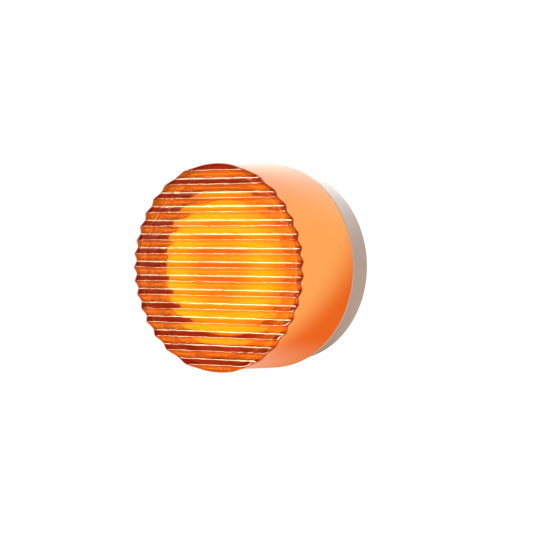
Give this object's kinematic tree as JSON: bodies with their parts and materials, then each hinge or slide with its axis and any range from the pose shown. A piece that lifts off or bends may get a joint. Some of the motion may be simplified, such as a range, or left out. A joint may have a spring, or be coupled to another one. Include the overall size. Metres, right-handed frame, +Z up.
{
  "type": "darkroom safelight",
  "caption": "Round wall-mounted darkroom safelight: a fluted amber lens that twists, an orange drum that pulls off a white base, and a ring of LEDs behind a diffuser.",
  "frame": {"origin": "centre of the wall bracket's two slots, on the wall plane, which is also the lamp's own axis", "axes": "+Z up the wall, +Y into the wall, so the lens faces -Y, and +X to the right as seen from the room"},
  "size_m": [0.1414, 0.085, 0.1414],
  "materials": {
    "zinc_steel": "zinc-plated pressed steel",
    "screw_steel": "bright zinc",
    "spring_steel": "spring steel strip",
    "aluminium": "die-cast, satin",
    "brass": "turned",
    "foam": "closed-cell foam",
    "black_rubber": "moulded rubber",
    "thermal_rubber": "silicone pad",
    "base_white": "satin moulded white",
    "terminal_plastic": "natural nylon",
    "driver_plastic": "fine spark texture",
    "reflector_white": "matt white powder coat",
    "board_white": "white solder mask",
    "led_amber": "silicone-filled LED",
    "wire_brown": "PVC",
    "wire_blue": "PVC",
    "wire_earth": "PVC",
    "wire_red": "PVC",
    "wire_black": "PVC",
    "drum_orange": "satin translucent orange, lit from inside",
    "opal": "opal, lit from behind",
    "ring_orange": "satin",
    "lens_amber": "clear amber, polished flutes"
  },
  "bodies": {
    "base": {"wall_bracket": "zinc_steel", "wall_gasket": "foam", "cable_grommet": "black_rubber", "base_shell": "base_white", "lock_screw": "screw_steel", "terminal_block": "terminal_plastic", "terminal_screws": "brass", "terminal_fixings": "screw_steel", "earth_screw": "brass", "live_wire": "wire_brown", "neutral_wire": "wire_blue", "earth_wire": "wire_earth", "wire_grommet": "black_rubber", "collar": "base_white", "collar_screws": "screw_steel", "drum_springs": "spring_steel", "light_seal": "foam", "reflector_plate": "reflector_white", "reflector_screws": "screw_steel", "heat_sink": "aluminium", "heat_sink_screws": "screw_steel", "led_driver": "driver_plastic", "driver_screws": "screw_steel", "thermal_pad": "thermal_rubber", "led_board": "board_white", "leds": "led_amber", "board_screws": "screw_steel", "board_connector": "terminal_plastic", "positive_lead": "wire_red", "negative_lead": "wire_black"},
    "shade": {"drum": "drum_orange", "diffuser_gasket": "foam", "diffuser": "opal", "diffuser_ring": "ring_orange", "ring_screws": "screw_steel"},
    "lens": {"amber_lens": "lens_amber", "lens_ring": "ring_orange"}
  },
  "joints": [
    {"name": "drum_pull", "type": "slide", "parent": "base", "child": "shade", "axis": [0, -1, 0], "range_m": [0, 0.06]},
    {"name": "lens_twist", "type": "hinge", "parent": "shade", "child": "lens", "pos_m": [0, -0.08, 0], "axis": [0, -1, 0], "range_deg": [0, 26]}
  ]
}
